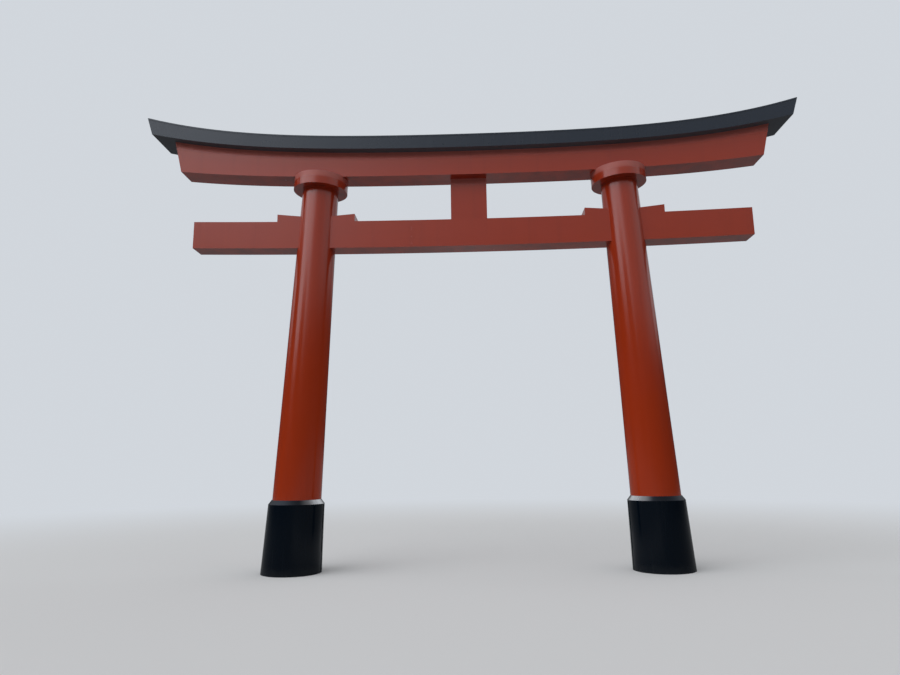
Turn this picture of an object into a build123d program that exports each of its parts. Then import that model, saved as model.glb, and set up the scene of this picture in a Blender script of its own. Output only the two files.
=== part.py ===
import math
import os

from build123d import *

# sizes in mm; x runs along the gate, y away from the viewer, z up from the ground

# pillars
pillar_spacing = 7430  # between the two axes, at the ground
pillar_lean = 0.0512  # run towards the middle for each unit of height
pillar_foot_diameter = 983  # inside the sleeve, where it doesn't taper yet
pillar_head_diameter = 782  # just under the cap
head_tenon_side = 300  # square tenon through the cap
head_tenon_bite = 200  # how far it reaches into the lower lintel

# black sleeves round the feet
sleeve_foot_diameter = 1208
sleeve_top_diameter = 1130
sleeve_height = 1350
collar_height = 86
collar_lip = 8  # thickness left at the collar's upper edge

# round caps on the pillars
cap_diameter = 1180
cap_thickness = 284
cap_housing = 22  # depth the lower lintel is let into the cap, on the axis

# tie beam that passes through both pillars
tie_top = 7309  # height of its upper face at mid span
tie_height = 602
tie_thickness = 462
tie_half_length = 6032
tie_bow = 107  # rise of the upper and lower face at the reference distance
tie_lap = 380  # length of the stepped joints hidden in the pillars

# wedges driven in above the tie beam
wedge_reach = 850  # from the pillar's axis to the outer end
wedge_end_height = 167
wedge_tip_height = 93
wedge_gap = 20  # left between the two tips inside the pillar

# panel between tie beam and lower lintel
strut_width = 790
strut_thickness = 80
strut_tenon_length = 60
strut_tenon_inset = 90  # each side of the tenon, measured from the strut's edge

# lower lintel
lintel_under = 8318  # height of its underside at mid span
lintel_under_bow = 119
lintel_under_flick = 146
lintel_depth = 556
lintel_foot_half = 6375  # half length along the lower edge
lintel_head_half = 6548
lintel_joint_lap = 520

# top lintel, a wide beam with a low ridge
crown_under = 8863
crown_under_bow = 187
crown_under_flick = 226
crown_edge = 9163  # upper edge of the front face at mid span
crown_edge_bow = 169
crown_edge_flick = 283
crown_depth = 954
crown_foot_half = 6995
crown_head_half = 7118
crown_ridge_rise = 120  # ridge above the upper edges of front and back face
crown_joint_x = 2360
crown_joint_lap = 520

bow_reference = 6480  # distance from mid span at which bows and flicks are stated

# working values
span_reach = crown_head_half + 400  # edges are drawn this far out before the ends are cut
half_spacing = pillar_spacing / 2
axis_stretch = math.sqrt(1 + pillar_lean**2)
flank_hollow = 0.0005  # share of its length by which a taper's flank is hollow: a flat arc takes few facets


def swept(middle, bow, flick):
    """Height of a long edge at x: a parabola plus a fourth-power flick."""
    return lambda x: middle + bow * (x / bow_reference) ** 2 + flick * (x / bow_reference) ** 4


tie_upper = swept(tie_top, tie_bow, 0)
tie_lower = swept(tie_top - tie_height, tie_bow, 0)
lintel_lower = swept(lintel_under, lintel_under_bow, lintel_under_flick)
crown_lower = swept(crown_under, crown_under_bow, crown_under_flick)
crown_upper = swept(crown_edge, crown_edge_bow, crown_edge_flick)


def axis_x(z):
    return half_spacing - pillar_lean * z


def axis_meets(height):
    """Height at which the leaning axis crosses a swept edge."""
    z = height(half_spacing)
    for _ in range(30):
        z = height(axis_x(z))
    return z


cap_top = axis_meets(lintel_lower) + cap_housing
cap_bottom = cap_top - cap_thickness
axis_at_tie = axis_x(axis_meets(tie_upper))


clearance = pillar_lean * pillar_foot_diameter  # a cut square to the axis rises or falls less than this
taper_start = sleeve_height + collar_height + clearance


def pillar_radius(z):
    part = max(0, z - taper_start) / (cap_bottom - taper_start)
    return (pillar_foot_diameter * (1 - part) + pillar_head_diameter * part) / 2


def leaning_plane(z):
    """Plane square to the right pillar's axis where the axis is at height z."""
    return Plane(origin=(axis_x(z), 0, z), x_dir=(1, 0, pillar_lean), z_dir=(-pillar_lean, 0, 1))


def slab(points, depth):
    """Outline in x and z, given depth evenly about the gate's centre plane."""
    corners = [(x, -depth / 2, z) for x, z in points]
    return Solid.extrude(Face(Wire.make_polygon(corners, close=True)), Vector(0, depth, 0))


def swept_edge(height, y):
    """The swept height as one exact quartic Bezier curve from end to end."""
    middle = height(0)
    half_way, full = height(span_reach / 2) - middle, height(span_reach) - middle
    flick = (16 * full - 64 * half_way) / 12
    bow = full - flick
    weights = ((1, 1), (0, -1), (-1 / 3, 1), (0, -1), (1, 1))
    xs = (-span_reach, -span_reach / 2, 0, span_reach / 2, span_reach)
    return Edge.make_bezier(*[Vector(x, y, middle + bow * b + flick * f) for x, (b, f) in zip(xs, weights)])


def band_face(lower, upper, y):
    """Strip between two swept edges, in the plane at y."""
    under, over = swept_edge(lower, y), swept_edge(upper, y)
    ends = [Edge.make_line(under @ t, over @ t) for t in (0, 1)]
    return Face(Wire([under, ends[1], over, ends[0]]))


def trim_ends(beam, foot_x, foot_z, head_x, head_z, depth):
    """Cut both ends of a beam along the line through its lower and upper end corner."""
    slope = (head_x - foot_x) / (head_z - foot_z)
    low, high = foot_z - 1500, head_z + 1500
    low_x, high_x = foot_x + slope * (low - foot_z), head_x + slope * (high - head_z)
    outline = [(-low_x, low), (low_x, low), (high_x, high), (-high_x, high)]
    return beam & slab(outline, depth + 200)


def in_lengths(beam, joint_x, step_z, lap, depth):
    """Split a beam at two stepped laps; the middle length rests on the outer two."""
    far, low, high = span_reach + 500, step_z - 2500, step_z + 2500
    inner, outer = joint_x - lap / 2, joint_x + lap / 2
    right_outline = [(inner, low), (far, low), (far, high), (outer, high), (outer, step_z), (inner, step_z)]
    right_part = slab(right_outline, depth + 200)
    left_part = mirror(right_part, about=Plane.YZ)
    return beam & left_part, beam - left_part - right_part, beam & right_part


def whole_tie_beam():
    beam = Solid.extrude(band_face(tie_lower, tie_upper, -tie_thickness / 2), Vector(0, tie_thickness, 0))
    low, high = tie_top - 2 * tie_height, tie_top + 2 * tie_height
    ends = [(-tie_half_length, low), (tie_half_length, low), (tie_half_length, high), (-tie_half_length, high)]
    return beam & slab(ends, tie_thickness + 200)


def whole_lower_lintel():
    beam = Solid.extrude(band_face(lintel_lower, crown_lower, -lintel_depth / 2), Vector(0, lintel_depth, 0))
    return trim_ends(beam, lintel_foot_half, lintel_lower(lintel_foot_half),
                     lintel_head_half, crown_lower(lintel_head_half), lintel_depth)


def whole_top_lintel():
    """Flat underside, upright faces and two roof slopes that meet at the ridge."""
    half = crown_depth / 2
    side = band_face(crown_lower, crown_upper, -half)
    front = Solid.extrude(side, Vector(0, half, 0)) + Solid.extrude(side, Vector(0, half, crown_ridge_rise))
    beam = front + mirror(front, about=Plane.XZ)
    return trim_ends(beam, crown_foot_half, crown_lower(crown_foot_half),
                     crown_head_half, crown_upper(crown_head_half), crown_depth)


def wedge(direction):
    """Wedge beside the right pillar; direction is 1 for the outer one, -1 for the inner one."""
    tip_x = axis_at_tie + direction * wedge_gap / 2
    end_x = axis_at_tie + direction * wedge_reach
    base = tie_top - tie_height / 2
    outline = [
        (tip_x, base),
        (end_x, base),
        (end_x, tie_upper(end_x) + wedge_end_height),
        (tip_x, tie_upper(tip_x) + wedge_tip_height),
    ]
    return slab(outline, tie_thickness)


def wedge_slot():
    """Room for both wedges, closed across the gap between their tips."""
    tip = tie_upper(axis_at_tie) + wedge_tip_height
    base = tie_top - tie_height / 2
    filler = [
        (axis_at_tie - wedge_gap, base),
        (axis_at_tie + wedge_gap, base),
        (axis_at_tie + wedge_gap, tip),
        (axis_at_tie - wedge_gap, tip),
    ]
    return wedge(1) + wedge(-1) + slab(filler, tie_thickness)


def head_tenon():
    length = (cap_thickness - cap_housing + head_tenon_bite) * axis_stretch
    block = Box(head_tenon_side, head_tenon_side, length + 100, align=(Align.CENTER, Align.CENTER, Align.MIN))
    return leaning_plane(cap_bottom - 100 / axis_stretch) * block


def level_room(z0, z1):
    """Space between two heights, round the right pillar."""
    room = Box(4000, 4000, z1 - z0, align=(Align.CENTER, Align.CENTER, Align.MIN))
    return Pos(half_spacing, 0, z0) * room


def turned(foot_radius, head_radius, height):
    """Tapered round body on the origin: a flank that is very nearly straight, turned about the z axis."""
    middle = ((foot_radius + head_radius) / 2 - flank_hollow * height, 0, height / 2)
    flank = Edge.make_three_point_arc((foot_radius, 0, 0), middle, (head_radius, 0, height))
    foot = Edge.make_line((0, 0, 0), (foot_radius, 0, 0))
    head = Edge.make_line((head_radius, 0, height), (0, 0, height))
    core = Edge.make_line((0, 0, height), (0, 0, 0))
    return Solid.revolve(Face(Wire([foot, flank, head, core])), 360, Axis.Z)


def leaning_taper(z0, r0, z1, r1):
    """Tapered body round the right pillar's axis, square to it at both ends."""
    return leaning_plane(z0) * turned(r0, r1, (z1 - z0) * axis_stretch)


def pillar_shaft():
    """Parallel foot, plain taper and the length at the beam; the foot is cut level at the ground."""
    below = 200
    beam_zone = tie_lower(0) - clearance
    foot = Solid.make_cylinder(pillar_foot_diameter / 2, (taper_start + below) * axis_stretch,
                               leaning_plane(-below))
    plain = leaning_taper(taper_start, pillar_foot_diameter / 2, beam_zone, pillar_radius(beam_zone))
    head = Solid.make_cone(pillar_radius(beam_zone), pillar_head_diameter / 2,
                           (cap_bottom - beam_zone) * axis_stretch, leaning_plane(beam_zone))
    return foot + plain + head - level_room(-3 * below, 0)


def pillar(tie_beam):
    return pillar_shaft() + head_tenon() - tie_beam - wedge_slot()


def cap_disc(lower_lintel):
    disc = Solid.make_cylinder(cap_diameter / 2, cap_thickness * axis_stretch, leaning_plane(cap_bottom))
    return disc - head_tenon() - lower_lintel


def halves(ring):
    """Front and back half of a ring round the right pillar."""
    room = Box(4000, 2000, 4000, align=(Align.CENTER, Align.MAX, Align.CENTER))
    front_room = Pos(half_spacing, 0, 0) * room
    return ring & front_room, ring - front_room


def base_sleeve():
    """Ring that leans with the pillar, wider at the ground, with both ends level."""
    spare = 0.2
    narrowing = (sleeve_foot_diameter - sleeve_top_diameter) / 2 * spare
    outer = leaning_taper(-sleeve_height * spare, sleeve_foot_diameter / 2 + narrowing,
                          sleeve_height * (1 + spare), sleeve_top_diameter / 2 - narrowing)
    return (outer & level_room(0, sleeve_height)) - pillar_shaft()


def base_collar():
    """Upright bevelled ring that lies on the sleeve and closes against the pillar."""
    top = sleeve_height + collar_height
    seat = Plane(origin=(axis_x(sleeve_height), 0, sleeve_height))
    bevel = Solid.make_cone(sleeve_top_diameter / 2, pillar_radius(top) + collar_lip, collar_height, seat)
    return bevel - pillar_shaft()


def strut_tenons(lower_z, upper_z):
    width = strut_width - 2 * strut_tenon_inset
    height = upper_z - lower_z + 2 * strut_tenon_length
    return Pos(0, 0, (lower_z + upper_z) / 2) * Box(width, strut_thickness / 2, height)


def centre_strut(tie_beam, lower_lintel):
    reach = tie_height / 2
    height = lintel_under - tie_top + 2 * reach
    board = Pos(0, 0, (lintel_under + tie_top) / 2) * Box(strut_width, strut_thickness, height)
    return board - tie_beam - lower_lintel


def both_sides(name, right_solid):
    return {"right_" + name: right_solid, "left_" + name: mirror(right_solid, about=Plane.YZ)}


def build():
    tie = whole_tie_beam()
    lintel = whole_lower_lintel()
    tenon = head_tenon()
    tenons = tenon + mirror(tenon, about=Plane.YZ)
    strut_pegs = strut_tenons(tie_upper(0), lintel_lower(0))

    nodes = {}
    nodes.update(both_sides("pillar", pillar(tie)))
    sleeve_front, sleeve_back = halves(base_sleeve())
    nodes.update(both_sides("base_sleeve_front", sleeve_front))
    nodes.update(both_sides("base_sleeve_back", sleeve_back))
    collar_front, collar_back = halves(base_collar())
    nodes.update(both_sides("base_collar_front", collar_front))
    nodes.update(both_sides("base_collar_back", collar_back))
    nodes.update(both_sides("cap_disc", cap_disc(lintel)))
    nodes.update(both_sides("outer_wedge", wedge(1) - tie))
    nodes.update(both_sides("inner_wedge", wedge(-1) - tie))
    nodes["centre_strut"] = centre_strut(tie, lintel) + strut_pegs

    tie_step = tie_upper(axis_at_tie) - tie_height / 2
    tie_parts = in_lengths(tie - strut_pegs, axis_at_tie, tie_step, tie_lap, tie_thickness)
    lintel_joint_x = axis_x(cap_top)
    lintel_step = (lintel_lower(lintel_joint_x) + crown_lower(lintel_joint_x)) / 2
    lintel_parts = in_lengths(lintel - tenons - strut_pegs, lintel_joint_x, lintel_step,
                              lintel_joint_lap, lintel_depth)
    crown_step = (crown_lower(crown_joint_x) + crown_upper(crown_joint_x)) / 2
    crown_parts = in_lengths(whole_top_lintel(), crown_joint_x, crown_step, crown_joint_lap, crown_depth)
    for beam, parts in (("tie_beam", tie_parts), ("lower_lintel", lintel_parts), ("top_lintel", crown_parts)):
        for place, solid in zip(("left", "centre", "right"), parts):
            nodes[beam + "_" + place] = solid
    return nodes


def as_single_solid(shape):
    solids = shape.solids()
    assert len(solids) == 1, len(solids)
    return solids[0]


os.makedirs("parts", exist_ok=True)
for name, shape in build().items():
    solid = as_single_solid(shape)
    solid.label = name
    export_step(solid, "parts/" + name + ".step")
    box = solid.bounding_box()
    print(name, round(solid.volume / 1e9, 4), "m3",
          [round(v) for v in (box.min.X, box.min.Y, box.min.Z, box.max.X, box.max.Y, box.max.Z)])
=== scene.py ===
import math

import bpy
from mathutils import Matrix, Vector


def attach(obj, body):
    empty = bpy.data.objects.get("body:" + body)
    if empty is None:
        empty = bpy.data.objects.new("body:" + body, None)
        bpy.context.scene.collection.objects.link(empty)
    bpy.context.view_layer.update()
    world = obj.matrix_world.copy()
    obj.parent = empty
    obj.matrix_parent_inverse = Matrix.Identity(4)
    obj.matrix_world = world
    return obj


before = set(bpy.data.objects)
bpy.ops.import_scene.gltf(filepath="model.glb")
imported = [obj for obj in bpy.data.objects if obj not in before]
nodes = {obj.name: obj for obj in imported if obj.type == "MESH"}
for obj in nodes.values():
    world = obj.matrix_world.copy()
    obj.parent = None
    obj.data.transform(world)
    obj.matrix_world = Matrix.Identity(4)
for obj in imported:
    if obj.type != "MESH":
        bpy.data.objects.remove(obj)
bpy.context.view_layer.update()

print("frame loaded:", len(nodes), "nodes")


# one output of a shader node, so that mask maths reads as plain expressions
class Signal:
    def __init__(self, shade, socket):
        self.shade = shade
        self.socket = socket

    def calc(self, operation, *values, clamp=False):
        settings = {"operation": operation, "use_clamp": clamp}
        return self.shade.node("ShaderNodeMath", settings, dict(enumerate(values)))

    def __add__(self, other):
        return self.calc("ADD", self, other)

    def __radd__(self, other):
        return self.calc("ADD", other, self)

    def __sub__(self, other):
        return self.calc("SUBTRACT", self, other)

    def __rsub__(self, other):
        return self.calc("SUBTRACT", other, self)

    def __mul__(self, other):
        return self.calc("MULTIPLY", self, other)

    def __rmul__(self, other):
        return self.calc("MULTIPLY", other, self)

    def __abs__(self):
        return self.calc("ABSOLUTE", self)

    def clamped(self):
        return self.calc("ADD", self, 0.0, clamp=True)

    # 0 below low, 1 above high, smooth between; low may be the larger one
    def step(self, low, high):
        if low > high:
            return 1 - self.step(high, low)
        settings = {"interpolation_type": "SMOOTHSTEP"}
        sockets = {0: self, 1: low, 2: high, 3: 0.0, 4: 1.0}
        return self.shade.node("ShaderNodeMapRange", settings, sockets)


# the node tree of one material or of the world
class Shade:
    def __init__(self, owner):
        owner.use_nodes = True
        self.owner = owner
        self.tree = owner.node_tree
        self.tree.nodes.clear()
        self.cache = {}

    def node(self, kind, settings=None, sockets=None, out=0):
        made = self.tree.nodes.new(kind)
        for key, value in (settings or {}).items():
            setattr(made, key, value)
        for key, value in (sockets or {}).items():
            if isinstance(value, Signal):
                self.tree.links.new(value.socket, made.inputs[key])
            else:
                made.inputs[key].default_value = value
        return Signal(self, made.outputs[out])

    def coordinates(self, kind, out):  # made once and shared
        if out not in self.cache:
            self.cache[out] = self.node(kind, out=out)
        return self.cache[out]

    def split(self, vector, letter):
        key = vector.socket.name + " parts"
        if key not in self.cache:
            self.cache[key] = self.node("ShaderNodeSeparateXYZ", None, {0: vector}).socket.node
        return Signal(self, self.cache[key].outputs[letter])

    def place(self):  # metres in the gate's own frame
        return self.coordinates("ShaderNodeTexCoord", "Object")

    def axis(self, letter):
        return self.split(self.place(), letter)

    def facing(self, letter):  # the surface normal's part along an axis
        return self.split(self.coordinates("ShaderNodeNewGeometry", "Normal"), letter)

    def noise(self, scale, detail=4, rough=0.55, stretch=(1, 1, 1), shift=(0, 0, 0)):
        sockets = {"Vector": self.place(), "Scale": stretch, "Location": shift}
        where = self.node("ShaderNodeMapping", None, sockets)
        sockets = {"Vector": where, "Scale": scale, "Detail": detail, "Roughness": rough}
        return self.node("ShaderNodeTexNoise", {"noise_dimensions": "3D"}, sockets)

    def blend(self, mask, colourA, colourB):
        settings = {"data_type": "RGBA", "clamp_factor": True}
        return self.node("ShaderNodeMix", settings, {0: mask, 6: colourA, 7: colourB}, out=2)

    def tinted(self, colour, brightness):  # colour times a grey value
        grey = self.node("ShaderNodeCombineXYZ", None, {axis: brightness for axis in range(3)})
        return self.node("ShaderNodeVectorMath", {"operation": "MULTIPLY"}, {0: colour, 1: grey})

    def bump(self, height, strength, distance):
        sockets = {"Strength": strength, "Distance": distance, "Height": height}
        return self.node("ShaderNodeBump", None, sockets)

    def rays(self, kind):  # 1 for rays of that kind
        return self.node("ShaderNodeLightPath", out=f"Is {kind} Ray")

    def paint(self, sockets):
        self.surface(self.node("ShaderNodeBsdfPrincipled", None, sockets))
        return self.owner

    def surface(self, shader):
        isMaterial = isinstance(self.owner, bpy.types.Material)
        kind = "ShaderNodeOutputMaterial" if isMaterial else "ShaderNodeOutputWorld"
        self.tree.links.new(shader.socket, self.tree.nodes.new(kind).inputs["Surface"])


# vermilion lacquer on the pillars, caps, strut, tie beam, wedges and lower lintel
lacquer = {
    "vermilion": (0.418, 0.0362, 0.0052, 1),
    "weatheredAndSheen": (0.415, 0.0380, 0.0130, 1),
    "fadeAndSheenHeights": (2.0, 9.0),  # it fades on the way up, partly weathering and partly a painted sheen of the sky on the upper parts
    "fadeAndSheenRise": 0.6,  # how much of the fading comes from the height
    "weatherPatches": 1.4,  # and from patches
    "plain": 0.93,  # brightness before streaks and clouds add to it
    "streaks": 0.08,
    "cloud": 0.06,
    "chalk": (0.300, 0.1050, 0.0750, 1),  # on faces that look at the sky
    "chalkTilt": (0.45, 0.85),  # how far a face looks up where it starts and is complete
    "chalkAmount": (0.25, 0.9),  # even part, clouded part
    "grimeAndDarkening": (0.060, 0.0150, 0.0100, 1),
    "drips": 0.08,
    "dripEdge": (0.50, 0.80),
    "downwardDarkening": 0.36,  # darker in patches on faces that look down
    "downwardDarkeningTilt": (-0.4, -0.9),
    "downwardDarkeningPatches": (0.35, 0.7),
    "paintedLightBand": (0.560, 0.1650, 0.1350, 1),  # painted light: a pale band close under an overhang that lifts its shade and dark reflection
    "paintedLightBandAmount": 0.8,
    "paintedLightBandDepth": (0.17, 0.06),  # metres under the overhang where it starts and is complete
    "paintedLightBandStop": (-0.05, 0.0),  # none above it
    "overhang": {"uprights": 8.318, "beams": 8.863},  # height of the underside above, at mid span
    "overhangSpan": 6.48,  # distance from mid span at which it has risen by both parts below
    "overhangRise": (0.187, 0.226),  # square part, fourth power part
    "paintedLightUnderOverhang": {"uprights": 0.0, "beams": 0.30},  # painted light: brighter paint that lifts the shade close under the overhang
    "paintedLightDepth": 0.30,
    "grain": {"uprights": (7, 7, 0.5), "beams": (0.5, 9, 9)},  # streaks run along the timber
    "gloss": {"uprights": 0.16, "beams": 0.24},  # roughness
    "rougher": {"streaks": 0.10, "drips": 0.03, "chalk": 0.4, "paintedLightBand": 0.45},  # added to it
    "brushFineness": 7,  # brush marks are this many times finer than the streaks
    "brush": 0.6,
    "peel": 0.4,
    "relief": (0.07, 0.0006),  # strength, metres
}


def vermilionLacquer(name, kind):
    shade = Shade(bpy.data.materials.new(name))
    height = shade.axis("Z")
    upward = shade.facing("Z")
    grain = lacquer["grain"][kind]
    patches = shade.noise(0.7, 4, 0.6)
    cloud = shade.noise(2.6, 3, 0.5, shift=(4, 0, 9))
    streaks = shade.noise(1.0, 6, 0.6, grain)

    # fading towards the top: partly weathering, partly a painted sheen of the sky on the upper parts
    fadedAndSheen = height.step(*lacquer["fadeAndSheenHeights"]) * lacquer["fadeAndSheenRise"]
    fadedAndSheen = (fadedAndSheen + (patches - 0.5) * lacquer["weatherPatches"]).clamped()
    colour = shade.blend(fadedAndSheen, lacquer["vermilion"], lacquer["weatheredAndSheen"])

    along = shade.axis("X") * (1 / lacquer["overhangSpan"])
    square = along * along
    squareRise, fourthRise = lacquer["overhangRise"]
    ceiling = lacquer["overhang"][kind] + square * squareRise + square * square * fourthRise
    below = ceiling - height
    # painted light: brighter paint close under the overhang, lifting the shade it casts
    paintedLightUnderOverhang = below.step(lacquer["paintedLightDepth"], 0.0) * lacquer["paintedLightUnderOverhang"][kind]
    brightness = lacquer["plain"] + streaks * lacquer["streaks"] + cloud * lacquer["cloud"] + paintedLightUnderOverhang
    colour = shade.tinted(colour, brightness)

    # painted light: a pale band close under the overhang that lifts its shade and dark reflection
    paintedLightBand = below.step(*lacquer["paintedLightBandDepth"]) * below.step(*lacquer["paintedLightBandStop"])
    paintedLightBand = paintedLightBand * lacquer["paintedLightBandAmount"]
    colour = shade.blend(paintedLightBand, colour, lacquer["paintedLightBand"])
    evenChalk, cloudedChalk = lacquer["chalkAmount"]
    chalk = upward.step(*lacquer["chalkTilt"]) * (evenChalk + cloud * cloudedChalk)
    colour = shade.blend(chalk, colour, lacquer["chalk"])
    drips = shade.noise(1.0, 2, 0.5, (7, 7, 0.35), (3, 1, 7)).step(*lacquer["dripEdge"])
    # drip grime, and darker in patches on faces that look down
    downwardDarkening = upward.step(*lacquer["downwardDarkeningTilt"]) * cloud.step(*lacquer["downwardDarkeningPatches"]) * lacquer["downwardDarkening"]
    colour = shade.blend(drips * lacquer["drips"] + downwardDarkening, colour, lacquer["grimeAndDarkening"])

    rougher = lacquer["rougher"]
    roughness = lacquer["gloss"][kind] + (streaks - 0.5) * rougher["streaks"] + drips * rougher["drips"]
    roughness = roughness + chalk * rougher["chalk"] + paintedLightBand * rougher["paintedLightBand"]
    finer = tuple(lacquer["brushFineness"] * part for part in grain)
    brush = shade.noise(1.0, 3, 0.5, finer, (5, 2, 1))
    peel = shade.noise(30.0, 2)
    return shade.paint({
        "Base Color": colour,
        "Roughness": roughness.clamped(),
        "Normal": shade.bump(brush * lacquer["brush"] + peel * lacquer["peel"], *lacquer["relief"]),
    })


# black lacquer and roof sheet on the top lintel
crown = {
    "black": (0.0080, 0.0175, 0.0345, 1),
    # dust colour, also used for the painted sheen on faces that look down
    "dust": (0.100, 0.110, 0.124, 1),
    "dustAbove": (0.30, 0.9),  # even part, patchy part
    # painted sheen on faces that look down, in the dust colour
    "paintedSheenBeneath": 0.85,
    "dustStreaks": 0.05,
    "streakEdge": (0.50, 0.80),
    "tilt": (0.4, 0.9),  # how far a face looks up or down before the dust above and the painted sheen below count
    "roughness": 0.27,
    "rougher": {"dust": 0.5, "patches": 0.12},
    "relief": (0.2, 0.0012),
}


def crownLacquer():
    shade = Shade(bpy.data.materials.new("crownLacquer"))
    patches = shade.noise(0.9, 5, 0.6)
    streaks = shade.noise(1.0, 2, 0.5, (6, 6, 0.5))
    low, high = crown["tilt"]
    upward = shade.facing("Z").step(low, high)
    sheenBeneath = shade.facing("Z").step(-low, -high)
    evenDust, patchyDust = crown["dustAbove"]
    # dust on what looks up; on what looks down the same colour is a painted sheen
    dust = upward * (evenDust + (patches - 0.5) * patchyDust) + sheenBeneath * crown["paintedSheenBeneath"]
    dust = (dust + streaks.step(*crown["streakEdge"]) * crown["dustStreaks"]).clamped()
    rougher = crown["rougher"]
    roughness = crown["roughness"] + dust * rougher["dust"] + (patches - 0.5) * rougher["patches"]
    board = shade.noise(1.0, 4, 0.5, (2, 14, 14))
    return shade.paint({
        "Base Color": shade.blend(dust, crown["black"], crown["dust"]),
        "Roughness": roughness.clamped(),
        "Normal": shade.bump(board, *crown["relief"]),
    })


# gloss black of the sleeves round the feet
sleeve = {
    "black": (0.0009, 0.0040, 0.0086, 1),
    "splash": (0.085, 0.088, 0.085, 1),
    "splashHeight": 0.20,  # dried mud splashes above the ground
    "splashRagged": 0.22,  # how far its upper edge wanders
    "splashAmount": 0.12,
    "runsAmount": 0.05,
    "runsEdge": (0.55, 0.8),
    "ledgeAmount": 0.16,  # dust on what looks up
    "ledgeTilt": (0.3, 0.7),
    "ledgePatches": (0.35, 0.7),
    "roughness": 0.16,
    "rougher": {"dust": 0.9, "runs": 0.12},
    "shine": 0.18,  # specular level
    "relief": (0.2, 0.0012),
}


def sleeveGloss():
    shade = Shade(bpy.data.materials.new("sleeveGloss"))
    edge = shade.noise(5.0, 6, 0.65)
    splash = shade.axis("Z") + (edge - 0.5) * sleeve["splashRagged"]
    splash = splash.step(sleeve["splashHeight"], 0.0)
    runs = shade.noise(1.0, 5, 0.55, (13, 13, 0.7))
    ledge = shade.facing("Z").step(*sleeve["ledgeTilt"]) * edge.step(*sleeve["ledgePatches"])
    dust = splash * sleeve["splashAmount"] + runs.step(*sleeve["runsEdge"]) * sleeve["runsAmount"]
    dust = (dust + ledge * sleeve["ledgeAmount"]).clamped()
    rougher = sleeve["rougher"]
    roughness = sleeve["roughness"] + dust * rougher["dust"] + (runs - 0.5) * rougher["runs"]
    return shade.paint({
        "Base Color": shade.blend(dust, sleeve["black"], sleeve["splash"]),
        "Roughness": roughness.clamped(),
        "Specular IOR Level": sleeve["shine"],
        "Normal": shade.bump(shade.noise(7.0, 3) + runs * 0.5, *sleeve["relief"]),
    })


# polished metal of the collars, bright towards the passage; its dark outer side is painted shade standing
# in for dark reflections there
collar = {
    "polished": (0.92, 0.91, 0.91, 1),
    "paintedDarkSideColour": (0.030, 0.033, 0.040, 1),
    "middle": 3.65,  # from mid span to the middle of either collar
    "reach": (0.23, 0.86),  # how far round from the front the painted dark side gives way
    "polish": (0.90, 0.7),  # even part, stained part
    "roughness": 0.14,
    "rougher": {"paintedDarkSide": 0.26, "stains": 0.1},
    "relief": (0.15, 0.001),
}


def collarMetal():
    shade = Shade(bpy.data.materials.new("collarMetal"))
    inward = shade.facing("X") * shade.axis("X") * (-1 / collar["middle"])
    stains = shade.noise(1.0, 5, 0.6, (9, 9, 3))
    evenPolish, stainedPolish = collar["polish"]
    # the dark outer side is painted shade: a dark base colour in place of the dark reflections there
    brightSideMask = inward.step(*collar["reach"]) * (evenPolish + (stains - 0.5) * stainedPolish)
    paintedDarkSide = 1 - brightSideMask.clamped()
    rougher = collar["rougher"]
    roughness = collar["roughness"] + paintedDarkSide * rougher["paintedDarkSide"] + (stains - 0.5) * rougher["stains"]
    return shade.paint({
        "Base Color": shade.blend(paintedDarkSide, collar["polished"], collar["paintedDarkSideColour"]),
        "Metallic": 1.0,
        "Roughness": roughness.clamped(),
        "Normal": shade.bump(shade.noise(9.0, 3), *collar["relief"]),
    })


uprightLacquer = vermilionLacquer("uprightLacquer", "uprights")
beamLacquer = vermilionLacquer("beamLacquer", "beams")
crownBlack = crownLacquer()
sleeveBlack = sleeveGloss()
collarRing = collarMetal()


def dress(obj, material):
    obj.data.materials.clear()
    obj.data.materials.append(material)


for name, obj in nodes.items():
    if name.startswith("top_lintel"):
        dress(obj, crownBlack)
    elif "base_collar" in name:
        dress(obj, collarRing)
    elif "base_sleeve" in name:
        dress(obj, sleeveBlack)
    elif "beam" in name or "lintel" in name or "wedge" in name:
        dress(obj, beamLacquer)
    else:  # pillars, caps and strut
        dress(obj, uprightLacquer)
print("materials assigned")


# modelling helpers
def nothing():  # out of edit mode with nothing selected
    if bpy.context.object and bpy.context.object.mode != "OBJECT":
        bpy.ops.object.mode_set(mode="OBJECT")
    bpy.ops.object.select_all(action="DESELECT")


def alone(obj):
    nothing()
    obj.select_set(True)
    bpy.context.view_layer.objects.active = obj


def everything(obj):
    alone(obj)
    bpy.ops.object.mode_set(mode="EDIT")
    bpy.ops.mesh.select_all(action="SELECT")


def clearChoice(obj):
    alone(obj)
    for group in (obj.data.polygons, obj.data.edges, obj.data.vertices):
        group.foreach_set("select", [False] * len(group))


def chooseFaces(obj, test):  # test(centre, normal) says which faces the next operator works on
    clearChoice(obj)
    for face in obj.data.polygons:
        face.select = test(face.center, face.normal)
    bpy.ops.object.mode_set(mode="EDIT")
    bpy.ops.mesh.select_mode(type="FACE")


def chooseEdges(obj, test):  # test(one end, other end)
    clearChoice(obj)
    for edge in obj.data.edges:
        edge.select = test(*(obj.data.vertices[i].co for i in edge.vertices))
    bpy.ops.object.mode_set(mode="EDIT")
    bpy.ops.mesh.select_mode(type="EDGE")


def pull(x=0, y=0, z=0):
    bpy.ops.mesh.extrude_region_move(TRANSFORM_OT_translate={"value": (x, y, z)})


def cutAcross(obj, place, direction):
    everything(obj)
    bpy.ops.mesh.bisect(plane_co=place, plane_no=direction)


def stick(obj, kind, **settings):
    alone(obj)
    modifier = obj.modifiers.new(kind.lower(), kind)
    for key, value in settings.items():
        setattr(modifier, key, value)
    bpy.ops.object.modifier_apply(modifier=modifier.name)


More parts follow.
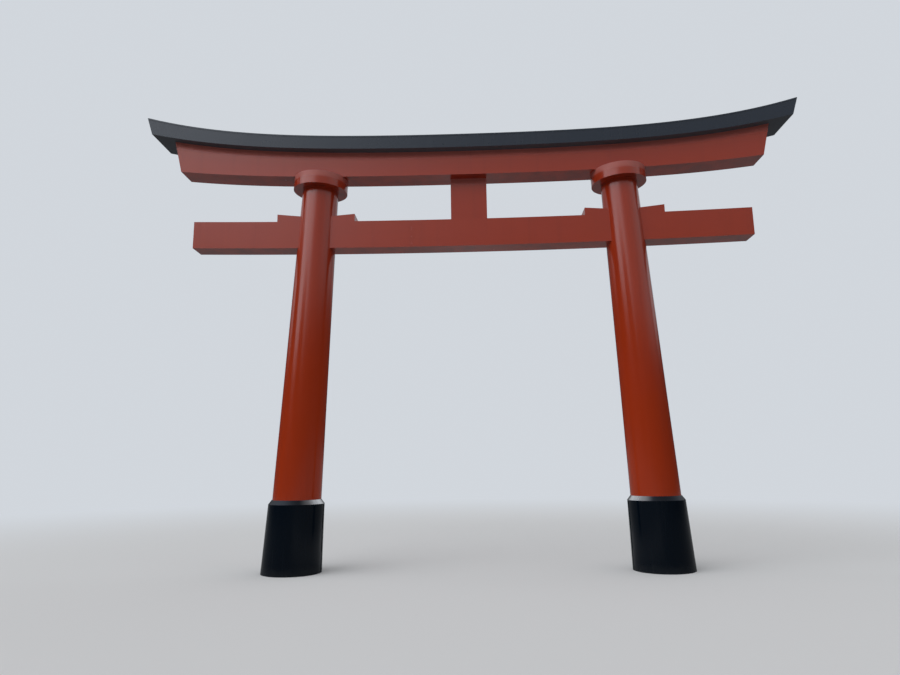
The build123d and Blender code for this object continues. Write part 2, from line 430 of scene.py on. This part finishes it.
def copyOf(obj, name):
    twin = bpy.data.objects.new(name, obj.data.copy())
    bpy.context.scene.collection.objects.link(twin)
    return twin


def joined(pieces, name):
    alone(pieces[0])
    for piece in pieces:
        piece.select_set(True)
    bpy.ops.object.join()
    whole = bpy.context.active_object
    whole.name = name
    return whole


def finished(obj, material, smoothBelow=35):  # degrees between faces that still look smooth
    alone(obj)
    bpy.ops.object.transform_apply(location=True, rotation=True, scale=True)
    bpy.ops.object.shade_smooth_by_angle(angle=math.radians(smoothBelow))
    dress(obj, material)
    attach(obj, "root")


# black sheet over the two roof slopes of the top lintel, with standing seams and a ridge roll
roof = {
    "startHeight": 10.5,  # the flat sheet starts above the lintel and is dropped on it
    "endAt": 7.09,  # it stops just short of the tips
    "inset": 0.0005,  # from the edge of the solid, before the hem is turned
    "pitch": 0.62,
    "panels": 4,  # flats between two seams
    "seamWidth": 0.024,
    "seamHeight": 0.016,
    "seamStop": 0.075,  # from the seam's end to the edge of the roof
    "ridgeHalf": 0.065,
    "ridgeHeight": 0.014,
    "hemOut": 0.003,
    "hemDrop": 0.032,
    "thick": 0.0025,
    "margin": 0.001,  # within this of the edge an edge counts as the border
}


def flatSheet(half):  # half is its depth from the ridge to either edge
    middle = (0, 0, roof["startHeight"])
    nothing()
    bpy.ops.mesh.primitive_plane_add(size=2, location=middle)
    sheet = bpy.context.active_object
    sheet.name = "roof_sheet"
    everything(sheet)
    bpy.ops.transform.resize(value=(roof["endAt"], half, 1), center_override=middle)
    return sheet


def roofSheet():
    lengths = [copyOf(nodes[f"top_lintel_{part}"], "lintelPart") for part in ("left", "centre", "right")]
    solid = joined(lengths, "lintelSolid")
    half = max(abs(point.co.y) for point in solid.data.vertices) - roof["inset"]
    seamEnd = half - roof["seamStop"]
    count = int(roof["endAt"] / roof["pitch"])
    seams = [step * roof["pitch"] for step in range(-count, count + 1)]
    lines = [x + side * 0.5 * roof["seamWidth"] for x in seams for side in (-1, 1)]
    lines += [x + roof["pitch"] * k / roof["panels"] for x in seams for k in range(1, roof["panels"])]

    sheet = flatSheet(half)
    for y in (-seamEnd, -roof["ridgeHalf"], 0, roof["ridgeHalf"], seamEnd):
        cutAcross(sheet, (0, y, 0), (0, 1, 0))
    for x in sorted(lines):
        cutAcross(sheet, (x, 0, 0), (1, 0, 0))
    stick(sheet, "SHRINKWRAP", target=solid, wrap_method="PROJECT", use_project_z=True,
          use_negative_direction=True, use_positive_direction=False)
    bpy.data.objects.remove(solid)

    def onSeam(centre, normal):
        near = min(abs(centre.x - x) for x in seams) < 0.4 * roof["seamWidth"]
        return near and roof["ridgeHalf"] < abs(centre.y) < seamEnd

    def onRidge(centre, normal):
        return abs(centre.y) < roof["ridgeHalf"] and normal.z > 0.5

    chooseFaces(sheet, onSeam)
    pull(z=roof["seamHeight"])
    chooseFaces(sheet, onRidge)
    pull(z=roof["ridgeHeight"])
    for side in (-1, 1):  # hem turned down over the front and the back edge
        chooseEdges(sheet, lambda a, b: min(side * a.y, side * b.y) > half - roof["margin"])
        pull(y=side * (roof["inset"] + roof["hemOut"]))
        pull(z=-roof["hemDrop"])
    stick(sheet, "SOLIDIFY", thickness=roof["thick"], offset=1.0)
    finished(sheet, crownBlack)


roofSheet()
print("roof sheet made")


# strips with domed screws over the upright joints between the front and back halves of the sleeves
strip = {
    "width": 0.070,
    "proud": 0.005,
    "sunk": 0.003,
    "bottom": 0.020,
    "top": 1.330,
    "bevel": 0.0022,
    "screws": 7,
    "screwMargin": 0.05,  # from either end of the strip to the first screw
    "screwSides": 12,
    "screwRadius": 0.0095,
    "screwDepth": 0.004,
    "screwRise": 0.005,
    "domeRing": 0.0035,  # width of either ring of the dome
    "domeShares": (0.6, 0.4),  # of the rise, in either ring
    "margin": 0.01,  # within this of the foot or the head a point counts as on it
}


def domedScrew(z):
    nothing()
    bpy.ops.mesh.primitive_cylinder_add(vertices=strip["screwSides"], radius=strip["screwRadius"],
                                        depth=strip["screwDepth"], location=(strip["proud"], 0, z),
                                        rotation=(0, math.pi / 2, 0))
    screw = bpy.context.active_object
    bpy.ops.object.transform_apply(location=True, rotation=True, scale=True)
    dome = strip["screwRise"] - 0.5 * strip["screwDepth"]
    for share in strip["domeShares"]:
        chooseFaces(screw, lambda centre, normal: normal.x > 0.9)
        bpy.ops.mesh.inset(thickness=strip["domeRing"], depth=dome * share)
    return screw


def uprightStrip():  # stands at x = 0 and faces +X
    low, high = strip["bottom"], strip["top"]
    deep = strip["proud"] + strip["sunk"]
    nothing()
    bpy.ops.mesh.primitive_cube_add(size=1, location=(0.5 * deep - strip["sunk"], 0, 0.5 * (low + high)),
                                    scale=(deep, strip["width"], high - low))
    plate = bpy.context.active_object
    bpy.ops.object.transform_apply(location=True, rotation=True, scale=True)
    chooseEdges(plate, lambda a, b: min(a.x, b.x) > 0)
    bpy.ops.mesh.bevel(offset=strip["bevel"], segments=2)
    first = domedScrew(low + strip["screwMargin"])
    apart = (high - low - 2 * strip["screwMargin"]) / (strip["screws"] - 1)
    screws = [first]
    for step in range(1, strip["screws"]):
        screws.append(copyOf(first, "screw"))
        everything(screws[-1])
        bpy.ops.transform.translate(value=(0, 0, step * apart))
    return joined([plate] + screws, "strip")


def sleeveStrips():
    pattern = uprightStrip()
    origin = (0, 0, 0)
    for side in ("left", "right"):
        points = [point.co for point in nodes[f"{side}_base_sleeve_front"].data.vertices]
        top = max(point.z for point in points)
        foot = [point.x for point in points if point.z < strip["margin"]]
        head = [point.x for point in points if point.z > top - strip["margin"]]
        for pick, outward in ((min, -1), (max, 1)):
            where = "outer" if (side == "left") == (outward < 0) else "inner"
            made = copyOf(pattern, f"{side}_{where}_sleeve_strip")
            everything(made)
            if outward < 0:
                bpy.ops.transform.rotate(value=math.pi, orient_axis="Z", center_override=origin)
            lean = math.atan2(pick(head) - pick(foot), top)
            bpy.ops.transform.rotate(value=-lean, orient_axis="Y", center_override=origin)
            bpy.ops.transform.translate(value=(pick(foot), 0, 0))
            finished(made, sleeveBlack)
    bpy.data.objects.remove(pattern)


sleeveStrips()
print("sleeve strips made")


# pale floor that fades into the background, and the bounce that the light gets from it
ground = {
    "size": 600,
    "shown": (0.80, 0.785, 0.76, 1),  # as the camera sees it
    "pathBounce": (0.56, 0.555, 0.545, 1),  # under the passage, as the light sees it
    "sideBounce": (0.22, 0.218, 0.212, 1),
    "pathEdge": (0.5, 4.2),  # metres to either side
    "fade": (9.0, 30.0),  # metres from the middle
    "mirrored": 0.15,  # share of the pale floor in what the lacquer mirrors
}

# plain studio sky; x is to the right, y away from the camera and z up
# a pair says where a change starts and where it is complete
studio = {
    "shown": (0.64, 0.675, 0.72, 1),  # background as the camera sees it
    "tint": (0.96, 1.0, 1.06),
    "front": (0.15, -0.15),  # y, from the half behind the gate to the half in front
    "leftSky": 1.04,
    "rightSky": 0.55,
    "leftTurn": (0.2, -0.5),  # x
    "flankSky": 0.20,
    "flankTurn": (0.55, 0.85),  # x
    "backSky": 0.14,
    "backRight": 0.28,
    "backRightTurn": (-0.3, 0.4),  # x
    "backHigh": 0.26,
    "backHighTurn": (0.33, 0.42),  # z
    "sideLift": 0.55,
    "sideTurn": (0.72, 0.92),  # x, to either side
    "sideBehind": (0.12, 0.30),  # y
    "shoulder": 0.30,
    "shoulderTurn": (0.38, 0.55),  # z
    "zenith": 0.35,
    "zenithTurn": (0.52, 0.80),  # z
    "glow": 1.3,
    "glowFrom": (-0.70, -0.40, 0.40),
    "glowEdge": (0.6, 0.95),
    "horizon": 0.04,
    "horizonTop": 0.22,
    "horizonSoft": 0.045,
    "leftHill": 0.19,
    "leftHillNear": (-0.40, -0.20),  # y
    "leftHillFar": (0.25, 0.10),  # y
    "leftHillTurn": (-0.3, -0.6),  # x
    "frontHill": 0.085,
    "frontHillRight": (-0.30, -0.45),  # x
    "frontHillLeft": (-0.74, -0.64),  # x
    "mirroredBehind": (0.10, 0.35),  # y, where mirror rays see the pale background
    "mirroredAbove": (0.25, 0.45),  # z
}


def studioFloor():
    nothing()
    bpy.ops.mesh.primitive_plane_add(size=ground["size"], location=(0, 0, 0))
    floor = bpy.context.active_object
    floor.name = "floor"
    shade = Shade(bpy.data.materials.new("floorPale"))
    seen = shade.rays("Camera") + shade.rays("Transmission") + shade.rays("Glossy") * ground["mirrored"]
    reach = shade.node("ShaderNodeVectorMath", {"operation": "LENGTH"}, {0: shade.place()}, out="Value")
    fade = reach.step(*ground["fade"])
    near = shade.node("ShaderNodeBsdfDiffuse", None, {"Color": ground["shown"]})
    far = shade.node("ShaderNodeEmission", None, {"Color": studio["shown"], "Strength": 1.0})
    shown = shade.node("ShaderNodeMixShader", None, {0: fade, 1: near, 2: far})
    aside = abs(shade.axis("X")).step(*ground["pathEdge"])
    bounceColour = shade.blend(aside + fade, ground["pathBounce"], ground["sideBounce"])
    bounce = shade.node("ShaderNodeBsdfDiffuse", None, {"Color": bounceColour})
    shade.surface(shade.node("ShaderNodeMixShader", None, {0: seen, 1: bounce, 2: shown}))
    floor.data.materials.append(shade.owner)


def studioSky():
    world = bpy.data.worlds.new("sky")
    bpy.context.scene.world = world
    shade = Shade(world)
    direction = shade.coordinates("ShaderNodeTexCoord", "Generated")
    x, y, z = (shade.split(direction, letter) for letter in "XYZ")

    before = y.step(*studio["front"])
    front = studio["rightSky"] + x.step(*studio["leftTurn"]) * (studio["leftSky"] - studio["rightSky"])
    front = front + x.step(*studio["flankTurn"]) * studio["flankSky"]
    behind = studio["backSky"] + x.step(*studio["backRightTurn"]) * studio["backRight"]
    behind = behind + z.step(*studio["backHighTurn"]) * studio["backHigh"]
    sides = abs(x).step(*studio["sideTurn"]) * y.step(*studio["sideBehind"])
    behind = behind + sides * studio["sideLift"]
    middle = front * before + (1 - before) * behind
    middle = middle + z.step(*studio["shoulderTurn"]) * studio["shoulder"]
    rise = z.step(*studio["zenithTurn"])
    sky = middle * (1 - rise) + rise * studio["zenith"]

    glowFrom = Vector(studio["glowFrom"]).normalized()
    along = shade.node("ShaderNodeVectorMath", {"operation": "DOT_PRODUCT"},
                       {0: direction, 1: glowFrom}, out="Value")
    sky = sky + along.step(*studio["glowEdge"]) * studio["glow"]

    # dark horizon, with one hill on the left and one in front
    leftHill = y.step(*studio["leftHillNear"]) * y.step(*studio["leftHillFar"])
    leftHill = leftHill * x.step(*studio["leftHillTurn"])
    frontHill = x.step(*studio["frontHillRight"]) * x.step(*studio["frontHillLeft"]) * before
    line = studio["horizonTop"] + leftHill * studio["leftHill"] + frontHill * studio["frontHill"]
    clear = (z - line).step(-studio["horizonSoft"], studio["horizonSoft"])
    sky = studio["horizon"] * (1 - clear) + sky * clear

    mirrored = shade.rays("Glossy") * y.step(*studio["mirroredBehind"]) * z.step(*studio["mirroredAbove"])
    seen = shade.rays("Camera") + shade.rays("Transmission") + mirrored
    colour = shade.blend(seen, shade.tinted(studio["tint"], sky), studio["shown"])
    shade.surface(shade.node("ShaderNodeBackground", None, {"Color": colour, "Strength": 1.0}))


view = {
    "place": (0.0553, -14.04, 2.0956),
    "turn": (100.699, 0.7623, 2.2309),  # degrees
    "lens": 26.9,
    "sensor": 36.0,
    "farthest": 1000,
}


def photoCamera():
    data = bpy.data.cameras.new("photoCamera")
    data.lens = view["lens"]
    data.sensor_width = view["sensor"]
    data.clip_end = view["farthest"]
    camera = bpy.data.objects.new("photoCamera", data)
    bpy.context.scene.collection.objects.link(camera)
    camera.location = view["place"]
    camera.rotation_euler = [math.radians(angle) for angle in view["turn"]]
    bpy.context.scene.camera = camera


studioFloor()
studioSky()
photoCamera()
bpy.context.scene.view_settings.view_transform = "Standard"
print("studio ready")
